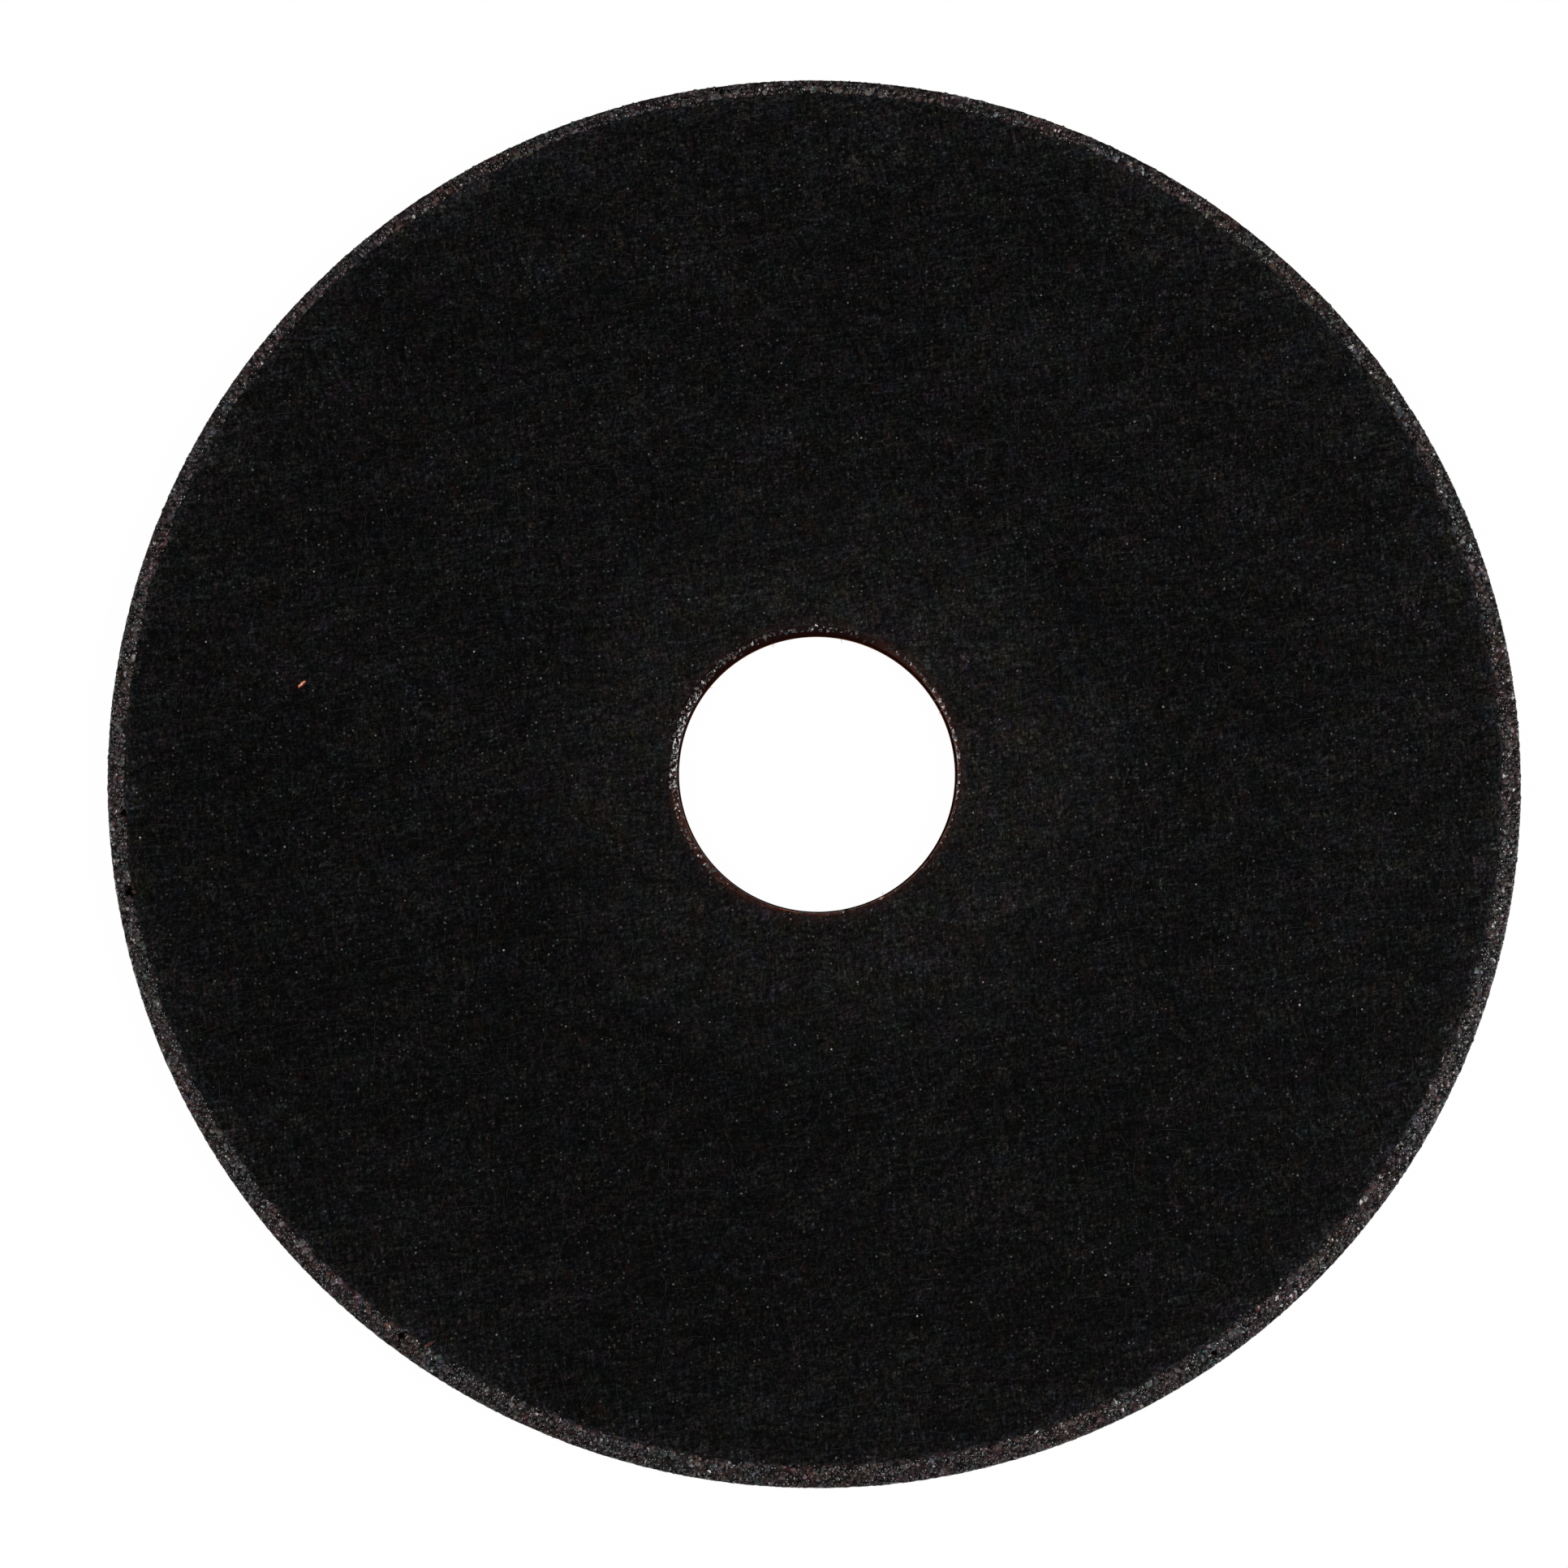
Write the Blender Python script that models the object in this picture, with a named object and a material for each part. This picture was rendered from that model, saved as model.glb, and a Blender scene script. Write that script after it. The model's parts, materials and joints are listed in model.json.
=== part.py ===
"""Flat cut-off wheel: a pressed disc of bonded grit with a thin black facing let into each side.

The wheel lies on its lower face. The origin is the middle of the bore on that face, +Z is the
wheel's axis, and every size is in metres.
"""

import math

import bmesh
import bpy

# Driving sizes
WHEEL_DIAMETER = 0.1143
BORE_DIAMETER = 0.0225
WHEEL_THICKNESS = 0.0016
FACING_THICKNESS = 0.00015

# Grit left bare outside and inside each facing
BARE_RIM_WIDTH = 0.00158
BARE_BORE_WIDTH = 0.00055

# The upper facing was laid a little off the wheel's middle, towards this direction
UPPER_SHIFT = 0.0004
UPPER_SHIFT_ANGLE = math.radians(117)

# Worn corners of the pressed grit
RIM_EDGE_RADIUS = 0.00012
BORE_EDGE_RADIUS = 0.00020

# Room between a facing and the seat it is let into
BOND_GAP = 0.00001
FACING_SIDE_GAP = 0.00005

# Facets round the wheel, and along a quarter of a worn corner
FACETS = 144
CORNER_FACETS = 3

WHEEL_RADIUS = WHEEL_DIAMETER / 2
BORE_RADIUS = BORE_DIAMETER / 2
FACING_RADIUS = WHEEL_RADIUS - BARE_RIM_WIDTH
FACING_HOLE_RADIUS = BORE_RADIUS + BARE_BORE_WIDTH
SEAT_RADIUS = FACING_RADIUS + FACING_SIDE_GAP
SEAT_DEPTH = FACING_THICKNESS + BOND_GAP

ON_AXIS = (0.0, 0.0)
UPPER_CENTRE = (
    UPPER_SHIFT * math.cos(UPPER_SHIFT_ANGLE),
    UPPER_SHIFT * math.sin(UPPER_SHIFT_ANGLE),
)
LOWER_CENTRE = ON_AXIS


def clear_scene():
    for thing in list(bpy.data.objects):
        bpy.data.objects.remove(thing)


def principled(name, colour, roughness, coat=0.0):
    material = bpy.data.materials.new(name)
    material.use_nodes = True
    shader = material.node_tree.nodes["Principled BSDF"]
    shader.inputs["Base Color"].default_value = (*colour, 1.0)
    shader.inputs["Roughness"].default_value = roughness
    shader.inputs["Metallic"].default_value = 0.0
    shader.inputs["Coat Weight"].default_value = coat
    material.diffuse_color = (*colour, 1.0)
    return material


def corner(radius, height, size, start_degrees):
    """Points (radius, height) on a quarter turn anticlockwise about a corner's middle."""
    points = []
    for step in range(CORNER_FACETS + 1):
        angle = math.radians(start_degrees + 90 * step / CORNER_FACETS)
        points.append((radius + size * math.cos(angle), height + size * math.sin(angle)))
    return points


def ring(mesh, radius, height, centre):
    """One closed loop of vertices round the given centre."""
    turn = 2 * math.pi / FACETS
    return [
        mesh.verts.new(
            (
                centre[0] + radius * math.cos(turn * step),
                centre[1] + radius * math.sin(turn * step),
                height,
            )
        )
        for step in range(FACETS)
    ]


def turned_ring(name, section, material):
    """Closed annular body from a section that runs anticlockwise, each point on its own centre.

    The section is a list of (radius, height, centre). Its loops are joined in turn, and the
    last is joined to the first.
    """
    mesh = bmesh.new()
    loops = [ring(mesh, radius, height, centre) for radius, height, centre in section]
    for here, ahead in zip(loops, loops[1:] + loops[:1]):
        for step in range(FACETS):
            following = (step + 1) % FACETS
            mesh.faces.new((here[step], here[following], ahead[following], ahead[step]))
    bmesh.ops.recalc_face_normals(mesh, faces=mesh.faces)
    data = bpy.data.meshes.new(name)
    mesh.to_mesh(data)
    mesh.free()
    data.shade_smooth()
    data.set_sharp_from_angle(angle=math.radians(35))
    data.materials.append(material)
    body = bpy.data.objects.new(name, data)
    bpy.context.scene.collection.objects.link(body)
    return body


def disc_section():
    """Bare rim at full thickness, a shallow seat on each side, and a bore with worn corners."""
    rim = WHEEL_RADIUS - RIM_EDGE_RADIUS
    bore = BORE_RADIUS + BORE_EDGE_RADIUS
    upper_seat = WHEEL_THICKNESS - SEAT_DEPTH
    lower_seat = SEAT_DEPTH
    outer_lower = corner(rim, RIM_EDGE_RADIUS, RIM_EDGE_RADIUS, -90)
    outer_upper = corner(rim, WHEEL_THICKNESS - RIM_EDGE_RADIUS, RIM_EDGE_RADIUS, 0)
    bore_upper = corner(bore, upper_seat - BORE_EDGE_RADIUS, BORE_EDGE_RADIUS, 90)
    bore_lower = corner(bore, lower_seat + BORE_EDGE_RADIUS, BORE_EDGE_RADIUS, 180)
    section = [(radius, height, ON_AXIS) for radius, height in outer_lower + outer_upper]
    section.append((SEAT_RADIUS, WHEEL_THICKNESS, UPPER_CENTRE))
    section.append((SEAT_RADIUS, upper_seat, UPPER_CENTRE))
    section += [(radius, height, ON_AXIS) for radius, height in bore_upper + bore_lower]
    section.append((SEAT_RADIUS, lower_seat, LOWER_CENTRE))
    section.append((SEAT_RADIUS, 0.0, LOWER_CENTRE))
    return section


def facing_section(underside, centre):
    """Flat sheet with a round hole, flush with the bare rim on its open side."""
    top = underside + FACING_THICKNESS
    return [
        (FACING_RADIUS, underside, centre),
        (FACING_RADIUS, top, centre),
        (FACING_HOLE_RADIUS, top, centre),
        (FACING_HOLE_RADIUS, underside, centre),
    ]


def build_abrasive_disc():
    grit = principled("bonded_grit", (0.062, 0.047, 0.043), 0.42, coat=0.3)
    return turned_ring("abrasive_disc", disc_section(), grit)


def build_facings():
    sheet = principled("black_facing", (0.0075, 0.0072, 0.0073), 0.72)
    upper_underside = WHEEL_THICKNESS - FACING_THICKNESS
    upper = turned_ring("upper_facing", facing_section(upper_underside, UPPER_CENTRE), sheet)
    lower = turned_ring("lower_facing", facing_section(0.0, LOWER_CENTRE), sheet)
    return upper, lower


def main():
    clear_scene()
    build_abrasive_disc()
    build_facings()


main()
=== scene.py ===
"""Cut-off wheel: a disc of coarse grit in resin, with a black fibrous facing on each side."""

import json
import math

import bmesh
import bpy
import numpy as np
from mathutils import Matrix, Vector

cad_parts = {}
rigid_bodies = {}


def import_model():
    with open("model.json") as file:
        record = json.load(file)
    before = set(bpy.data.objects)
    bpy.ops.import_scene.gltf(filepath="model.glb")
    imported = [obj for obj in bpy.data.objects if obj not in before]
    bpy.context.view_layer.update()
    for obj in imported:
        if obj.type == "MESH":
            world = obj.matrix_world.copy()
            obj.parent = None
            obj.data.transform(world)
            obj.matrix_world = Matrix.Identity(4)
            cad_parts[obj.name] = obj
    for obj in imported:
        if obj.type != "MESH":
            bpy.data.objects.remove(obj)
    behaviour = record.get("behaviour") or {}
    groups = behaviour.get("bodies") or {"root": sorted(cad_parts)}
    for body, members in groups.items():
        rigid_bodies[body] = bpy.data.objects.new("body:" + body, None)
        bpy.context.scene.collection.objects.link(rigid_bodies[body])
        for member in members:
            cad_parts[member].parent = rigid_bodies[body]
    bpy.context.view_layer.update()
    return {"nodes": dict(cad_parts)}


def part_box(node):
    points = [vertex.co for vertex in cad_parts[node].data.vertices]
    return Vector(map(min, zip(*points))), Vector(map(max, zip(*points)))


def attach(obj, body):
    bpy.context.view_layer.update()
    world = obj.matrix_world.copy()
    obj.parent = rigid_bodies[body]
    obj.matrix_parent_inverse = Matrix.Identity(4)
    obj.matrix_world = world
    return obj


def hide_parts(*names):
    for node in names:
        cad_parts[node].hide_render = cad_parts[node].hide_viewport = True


bl_info = {
    "name": "Cut-off wheel",
    "version": (1, 0, 0),
    "blender": (4, 5, 0),
    "location": "View3D > Sidebar > Wheel",
    "description": "Builds the grit, resin, facings and fibres of a flat cut-off wheel",
    "category": "Object",
}

MM = 0.001

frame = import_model()


def apart(points, x=0.0, y=0.0):
    """How far points lie from a place, in plan."""
    return np.hypot(points[:, 0] - x, points[:, 1] - y)


def node_rings(node, centre):
    """Smallest and largest distance of a node's vertices from a centre, in plan."""
    points = np.array([vertex.co[:2] for vertex in frame["nodes"][node].data.vertices])
    reach = apart(points, *centre)
    return float(reach.min()), float(reach.max())


def plan_centre(node):
    low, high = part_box(node)
    return ((low.x + high.x) / 2, (low.y + high.y) / 2)


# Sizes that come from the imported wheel
ON_AXIS = (0.0, 0.0)
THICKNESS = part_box("abrasive_disc")[1].z
BORE_RADIUS, WHEEL_RADIUS = node_rings("abrasive_disc", ON_AXIS)
UPPER_CENTRE = plan_centre("upper_facing")
LOWER_CENTRE = plan_centre("lower_facing")
FACING_HOLE, FACING_RADIUS = node_rings("upper_facing", UPPER_CENTRE)
FACING_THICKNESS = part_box("lower_facing")[1].z

# The sheets' holes were punched a little off the bore's middle
UPPER_HOLE_CENTRE = (-0.25 * MM, 0.17 * MM)
LOWER_HOLE_CENTRE = (0.10 * MM, -0.05 * MM)

# How far the upper sheet's cut edge lies outside its nominal ring:
# all round, towards +X, towards +Y
UPPER_EDGE_DRIFT = (0.07 * MM, 0.08 * MM, -0.06 * MM)

# The bore narrows a little towards the wheel's lower face
MOUTH_RADIUS = BORE_RADIUS + 0.06 * MM
LIP_RADIUS = BORE_RADIUS - 0.07 * MM

# Width and depth of the bore's worn upper corner
MOUTH_SLOPE = (0.66 * MM, 0.30 * MM)

# Depth of the resin's hollow where a grain broke out of the rim
PIT_DEPTH = 0.35 * MM

# Places where grains broke out: (x, y, radius) in millimetres
PITS = (
    (-55.30, -9.75, 0.40),
    (-8.00, 56.30, 0.34),
    (-55.85, -3.30, 0.26),
    (31.60, -46.60, 0.30),
    (-33.20, -45.10, 0.28),
)

# Stray flakes of resin: (x, y, height of the middle, length, width) in millimetres,
# turn in degrees, and tone from dark to pale
FLAKES = (
    (-41.64, 7.03, 1.555, 0.92, 0.30, 42, 0.62),
    (-41.60, 7.07, 1.572, 0.66, 0.15, 42, 0.92),
    (-30.95, -45.74, 1.560, 1.05, 0.26, 30, 0.26),
    (-30.72, -45.62, 1.563, 0.90, 0.12, 34, 0.20),
    (-31.12, -45.82, 1.572, 0.30, 0.20, 30, 0.44),
    (-54.83, -9.77, 1.560, 0.30, 0.44, 80, 0.21),
    (-56.10, -8.80, 1.480, 0.28, 0.20, 110, 1.0),
    (-56.20, -9.85, 1.460, 0.24, 0.20, 60, 1.0),
    # The next two flakes make a burr at the bore's lower right; its pale pink and grey tones are a
    # painted glint
    (5.13, -10.16, 1.270, 0.50, 0.20, 30, 0.84),
    (6.31, -9.56, 1.280, 0.20, 0.14, 34, 1.0),
)
FLAKE_THICKNESS = 0.07 * MM

# Resin hairs on the bore's wall: direction in degrees, height and length in millimetres, lean
HAIRS = (
    (108.6, 0.10, 0.30, 0.5),
    (79.8, 0.08, 0.34, -0.4),
    (-62.0, 1.22, 0.36, 0.3),
    (27.0, 1.22, 0.40, -0.6),
    (31.5, 1.20, 0.26, 0.7),
    (141.0, 0.12, 0.24, -0.5),
)
HAIR_GIRTH = 0.022 * MM

# Beads of thin resin along the bore's upper corner: first and last direction in degrees,
# (radius, height, girth) in millimetres, and tone
BEADS = (
    (-106.0, -96.8, 11.43, 1.245, 0.050, 0.60),
    (-111.5, -106.3, 11.47, 1.255, 0.035, 0.42),
    (-28.0, -20.5, 11.47, 1.260, 0.035, 0.40),
)

# Vertices round the wheel: fine at the rim, a quarter as many at the bore
RIM_STEPS = 1800
BORE_STEPS = 450
GLAZE_STEPS = 900
SHEET_STEPS = 1440
SHEET_HOLE_STEPS = 360

# Gaps between the resin body's rings at the rim and near the bore
RIM_GAP = 0.20 * MM
BORE_GAP = 0.15 * MM

# Rings along a hair and a bead, and a hair's tone
HAIR_STEPS = 6
BEAD_STEPS = 14
HAIR_TONE = 0.7

# How deep the highest grains' middles lie in the resin, at the wheel's edge and elsewhere
EDGE_DEPTH = 0.14 * MM
FACE_DEPTH = 0.04 * MM

# The studio in metres: half the floor's width, and the softboxes' names, places and widths
FLOOR_HALF = 1.5
SOFTBOXES = (
    ("key", (0.42, -0.05, 0.31), 0.19),
    ("fill", (-0.62, -0.03, 0.50), 0.30),
    ("front", (0.10, -0.72, 0.22), 0.36),
)

# Colours that no setting changes
# Painted shade inside the rim resin's pores
PAINTED_PORE_SHADE = (0.0028, 0.0010, 0.0008)
# Painted shade inside the pits where grains broke out
PAINTED_PIT_SHADE = (0.0022, 0.0008, 0.0007)
GLAZE_DARK = (0.0050, 0.0019, 0.0018)
PRINTED_RESIN = (0.029, 0.0132, 0.0116)
# Painted highlight for the tiny glints on the facing
GLINT = (0.45, 0.45, 0.43)
WHITE = (1.0, 1.0, 1.0)

# The places where grit is bare, kept on the resin body as vertex weights
ZONES = ("upper_rim", "wheel_edge", "lower_rim", "bore_mouth", "lower_bore")

# What picks the scatter of fibres, the lumps of the flakes and the wander of the cut edges
FIBRE_SEED = 31
FLAKE_SEED = 5
UPPER_EDGE_SEED = 11
LOWER_EDGE_SEED = 23


# Settings that a user would change


def number_setting(name, description, default, **extras):
    return bpy.props.FloatProperty(name=name, description=description, default=default, **extras)


def length_setting(name, description, default, **limits):
    return number_setting(name, description, default, unit="LENGTH", precision=5, **limits)


def angle_setting(name, description, degrees):
    return number_setting(name, description, math.radians(degrees), subtype="ANGLE")


def vector_setting(name, description, default, **extras):
    return bpy.props.FloatVectorProperty(
        name=name, description=description, size=len(default), default=default, **extras
    )


def colour_setting(name, description, default):
    return vector_setting(name, description, default, subtype="COLOR", min=0.0, max=1.0)


class GritSettings(bpy.types.PropertyGroup):
    grain_size: length_setting("Grain size", "Width of a grain of grit", 0.55 * MM, min=0.1 * MM)
    spacing: length_setting(
        "Grain spacing",
        "Least distance between the middles of two grains",
        0.305 * MM,
        min=0.1 * MM,
    )
    resin_depth: length_setting(
        "Resin depth", "How far the resin lies below the pressed faces", 0.16 * MM
    )
    edge_fall: length_setting(
        "Edge fall", "How much lower the bare rim lies at its outer edge", 0.10 * MM
    )
    sink: length_setting(
        "Grain sink", "How much deeper the lowest grains lie than the highest", 0.14 * MM
    )
    angularity: number_setting(
        "Angularity",
        "How far a grain's corners stray from a ball, as a share of its size",
        0.5,
        min=0.0,
        max=1.0,
    )
    seed: bpy.props.IntProperty(
        name="Seed", description="Picks another scatter of grains", default=7
    )


class FacingSettings(bpy.types.PropertyGroup):
    edge_wave: length_setting("Edge wave", "How far the sheet's cut edge wanders", 0.075 * MM)
    print_depth: length_setting(
        "Print depth", "How far the grit below shows through near the sheet's edges", 0.09 * MM
    )
    mottling: number_setting(
        "Mottling", "Strength of the matted fibres' light and dark", 1.0, min=0.0
    )
    fibre_length: length_setting(
        "Fibre length", "Length of the fibres that show on the sheet", 1.7 * MM
    )
    fibre_width: length_setting("Fibre width", "Thickness of a fibre", 0.05 * MM)
    fibre_spacing: length_setting(
        "Fibre spacing", "Least distance between the middles of two fibres", 1.1 * MM
    )
    lay: angle_setting("Lay", "Direction in which most of the fibres run", 10)
    hub_patch: vector_setting(
        "Hub patch",
        "Middle of the paler patch that clamping leaves round the bore",
        (0.4 * MM, -0.5 * MM, 0.0),
        unit="LENGTH",
        precision=5,
    )
    hub_patch_radius: length_setting(
        "Hub patch radius", "Radius of the paler patch round the bore", 24.0 * MM
    )


class WheelColours(bpy.types.PropertyGroup):
    grain_dark: colour_setting(
        "Dark grain", "Colour of the darkest grains", (0.0100, 0.0072, 0.0070)
    )
    grain: colour_setting("Grain", "Colour of most grains", (0.0362, 0.0258, 0.0265))
    grain_pale: colour_setting("Pale grain", "Colour of the paler grains", (0.067, 0.056, 0.0565))
    resin: colour_setting(
        "Resin", "Colour of the resin between the grains", (0.0085, 0.0060, 0.0058)
    )
    rim_resin: colour_setting(
        "Rim resin", "Colour of the resin domes on the bare rim", (0.0203, 0.0126, 0.0128)
    )
    wall: colour_setting(
        "Bore wall", "Colour of the smooth resin down the bore's wall", (0.0094, 0.0027, 0.0019)
    )
    # Partly browned resin, partly painted light: its paleness makes the bore's upper corner look
    # lit at the lower right
    bore_brown_and_painted_light: colour_setting(
        "Bore brown",
        "Colour of the browned resin on the bore's upper corner",
        (0.092, 0.0325, 0.0225),
    )
    # Painted light: the orange glow of light shining through the thin resin at the bore's lower
    # edge
    backlit_resin_glow: colour_setting(
        "Thin resin", "Colour of thin resin at the bore's lower edge", (0.26, 0.068, 0.024)
    )
    facing: colour_setting("Facing", "Middle tone of the black sheet", (0.00341, 0.00335, 0.00340))
    clamped: colour_setting(
        "Clamped facing",
        "Middle tone of the sheet where a flange has pressed on it, before it is paled",
        (0.00374, 0.00356, 0.00345),
    )
    fibre: colour_setting(
        "Fibre", "Colour of the palest fibres in the sheet", (0.030, 0.027, 0.026)
    )
    # Painted sheen: a paler blue-grey that stands in for light caught on the glazed cut edge
    glazed_edge_and_painted_sheen: colour_setting(
        "Cut edge", "Colour of the sheet's edge where resin has glazed it", (0.034, 0.034, 0.043)
    )
    rust: colour_setting(
        "Rust", "Colour of the few red-brown fibres, grains and resin chips", (0.10, 0.030, 0.014)
    )


class StudioSettings(bpy.types.PropertyGroup):
    tilt: angle_setting(
        "Camera tilt", "Angle between the camera's view and the wheel's axis", 5.56
    )
    azimuth: angle_setting(
        "Camera azimuth", "Direction that the camera stands off to, round the wheel's axis", -16.4
    )
    distance: length_setting(
        "Camera distance", "From the wheel's upper face to the camera", 0.3233
    )
    aim: vector_setting(
        "Aim",
        "The point on the upper face at the middle of the picture",
        (-0.002725, -0.000957),
        unit="LENGTH",
        precision=6,
    )
    lens: number_setting("Lens", "Focal length in millimetres on a 36 mm sensor", 92.0)
    key: number_setting("Key light", "Power of the softbox on the right", 2.25)
    fill: number_setting("Fill light", "Power of the softbox on the left", 3.4)
    front: number_setting("Front light", "Power of the softbox at the front", 2.0)


# Node trees

# The middle of a noise's colours, and a factor that leaves a vector level
NOISE_MIDDLE = (0.5, 0.5, 0.5)
LEVEL = (1.0, 1.0, 0.0)


class Graph:
    """Adds nodes to a tree from left to right, each joined to the sockets that it is given."""

    def __init__(self, tree):
        self.tree = tree
        self.column = 0

    def add(self, kind, settings=None, inputs=None):
        """A new node, whose inputs are given by their names or numbers."""
        node = self.tree.nodes.new(kind)
        node.location = (self.column * 190, 0)
        self.column += 1
        for name, value in (settings or {}).items():
            setattr(node, name, value)
        for name, value in (inputs or {}).items():
            self.feed(node.inputs[name], value)
        return node

    def first(self, kind, settings=None, **inputs):
        """The first output of a new node; an underscore stands for a space in an input's name."""
        named = {name.replace("_", " "): value for name, value in inputs.items()}
        return self.add(kind, settings, named).outputs[0]

    def feed(self, socket, value):
        if isinstance(value, bpy.types.NodeSocket):
            self.tree.links.new(value, socket)
        else:
            socket.default_value = value

    def math(self, operation, *values):
        inputs = dict(enumerate(values))
        return self.add("ShaderNodeMath", {"operation": operation}, inputs).outputs[0]

    def times(self, *factors):
        """The product of two or more numbers."""
        product = factors[0]
        for factor in factors[1:]:
            product = self.math("MULTIPLY", product, factor)
        return product

    def total(self, *parts):
        """Sum of (value, weight) pairs."""
        result = 0.0
        for value, weight in parts:
            result = self.math("MULTIPLY_ADD", value, weight, result)
        return result

    def vector(self, operation, *values):
        node = self.add("ShaderNodeVectorMath", {"operation": operation}, dict(enumerate(values)))
        return node.outputs["Value" if operation in ("LENGTH", "DOT_PRODUCT") else "Vector"]

    def scaled(self, vector, factor):
        settings = {"operation": "SCALE"}
        return self.first("ShaderNodeVectorMath", settings, Vector=vector, Scale=factor)

    def ramp(self, factor, low, high, start=0.0, end=1.0):
        """A smooth change from start to end as the factor goes from low to high."""
        settings = {"interpolation_type": "SMOOTHSTEP"}
        bounds = {"From Min": low, "From Max": high, "To Min": start, "To Max": end}
        node = self.add("ShaderNodeMapRange", settings, {"Value": factor, **bounds})
        return node.outputs["Result"]

    def blend(self, factor, *colours):
        """The first of two colours where the factor is 0 and the second where it is 1."""
        settings = {"data_type": "RGBA", "clamp_factor": True}
        node = self.add("ShaderNodeMix", settings, {"Factor": factor})
        for socket, colour in zip(node.inputs[6:8], colours):
            joined = isinstance(colour, bpy.types.NodeSocket)
            self.feed(socket, colour if joined else rgba(colour))
        return node.outputs[2]

    def palette(self, factor, stops):
        """Colours along a ramp; a stop is (place, colour)."""
        node = self.add("ShaderNodeValToRGB", inputs={"Fac": factor})
        steps = node.color_ramp.elements
        steps[0].position, steps[0].color = stops[0][0], rgba(stops[0][1])
        steps[1].position, steps[1].color = stops[-1][0], rgba(stops[-1][1])
        for place, colour in stops[1:-1]:
            steps.new(place).color = rgba(colour)
        return node.outputs["Color"]


def rgba(colour):
    return (*colour, 1.0)


# Geometry node trees for what is scattered

SOCKET_KINDS = {str: "String", float: "Float", int: "Int", tuple: "Vector"}


def open_tree(name, defaults):
    """The graph of a new geometry tree and its inputs: the given ones, a mesh and a material."""
    tree = bpy.data.node_groups.new(name, "GeometryNodeTree")
    sockets = tree.interface.new_socket
    sockets("Geometry", in_out="INPUT", socket_type="NodeSocketGeometry")
    for label, default in defaults.items():
        kind = "NodeSocket" + SOCKET_KINDS[type(default)]
        sockets(label, in_out="INPUT", socket_type=kind).default_value = default
    sockets("Material", in_out="INPUT", socket_type="NodeSocketMaterial")
    sockets("Geometry", in_out="OUTPUT", socket_type="NodeSocketGeometry")
    graph = Graph(tree)
    return graph, graph.add("NodeGroupInput").outputs


def close_tree(graph, given, geometry):
    """Puts the given material on the geometry and hands it out."""
    done = graph.first("GeometryNodeSetMaterial", Geometry=geometry, Material=given["Material"])
    graph.add("NodeGroupOutput", inputs={"Geometry": done})
    return graph.tree


def weight_named(graph, name):
    return graph.first("GeometryNodeInputNamedAttribute", {"data_type": "FLOAT"}, Name=name)


def random_number(graph, low, high, seed, step):
    inputs = {2: low, 3: high, "Seed": graph.math("ADD", seed, step)}
    return graph.add("FunctionNodeRandomValue", {"data_type": "FLOAT"}, inputs).outputs[1]


def random_vector(graph, low, high, seed, step):
    inputs = {0: (low,) * 3, 1: (high,) * 3, "Seed": graph.math("ADD", seed, step)}
    return graph.add("FunctionNodeRandomValue", {"data_type": "FLOAT_VECTOR"}, inputs).outputs[0]


def moved(graph, geometry, offset):
    return graph.first("GeometryNodeSetPosition", Geometry=geometry, Offset=offset)


def keep_inside(graph, geometry, reach):
    """Moves points that stray past the reach or the wheel's two faces back onto them."""
    position = graph.first("GeometryNodeInputPosition")
    x, y, z = graph.add("ShaderNodeSeparateXYZ", inputs={0: position}).outputs
    away = graph.vector("LENGTH", graph.vector("MULTIPLY", position, LEVEL))
    shrink = graph.math("DIVIDE", reach, graph.math("MAXIMUM", away, reach))
    height = graph.math("MINIMUM", graph.math("MAXIMUM", z, 0.0), THICKNESS)
    held = graph.first(
        "ShaderNodeCombineXYZ", X=graph.times(x, shrink), Y=graph.times(y, shrink), Z=height
    )
    return graph.first("GeometryNodeSetPosition", Geometry=geometry, Position=held)


def noise_offset(graph, size, amount, seed):
    """A vector that changes smoothly over the given size, up to half the amount each way."""
    inputs = {
        "Vector": graph.first("GeometryNodeInputPosition"),
        "W": seed,
        "Scale": graph.math("DIVIDE", 1.0, size),
        "Detail": 1.0,
    }
    noise = graph.add("ShaderNodeTexNoise", {"noise_dimensions": "4D"}, inputs)
    return graph.scaled(graph.vector("SUBTRACT", noise.outputs["Color"], NOISE_MIDDLE), amount)


def scattered(graph, given, density, weight, rise):
    """Points where the named weight allows them, moved out along their normals."""
    inputs = {
        "Mesh": given["Geometry"],
        "Distance Min": given["Spacing"],
        "Density Max": density,
        "Density Factor": weight_named(graph, weight),
        "Seed": given["Seed"],
    }
    settings = {"distribute_method": "POISSON"}
    made = graph.add("GeometryNodeDistributePointsOnFaces", settings, inputs).outputs
    return moved(graph, made["Points"], graph.scaled(made["Normal"], rise))


def copied(graph, points, shape, turn, scale, tone):
    """A copy of a shape on each point, each with a tone of its own."""
    copies = graph.first(
        "GeometryNodeInstanceOnPoints", Points=points, Instance=shape, Rotation=turn, Scale=scale
    )
    settings = {"data_type": "FLOAT", "domain": "INSTANCE"}
    toned = graph.first(
        "GeometryNodeStoreNamedAttribute", settings, Geometry=copies, Name="tone", Value=tone
    )
    return graph.first("GeometryNodeRealizeInstances", Geometry=toned)


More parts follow.
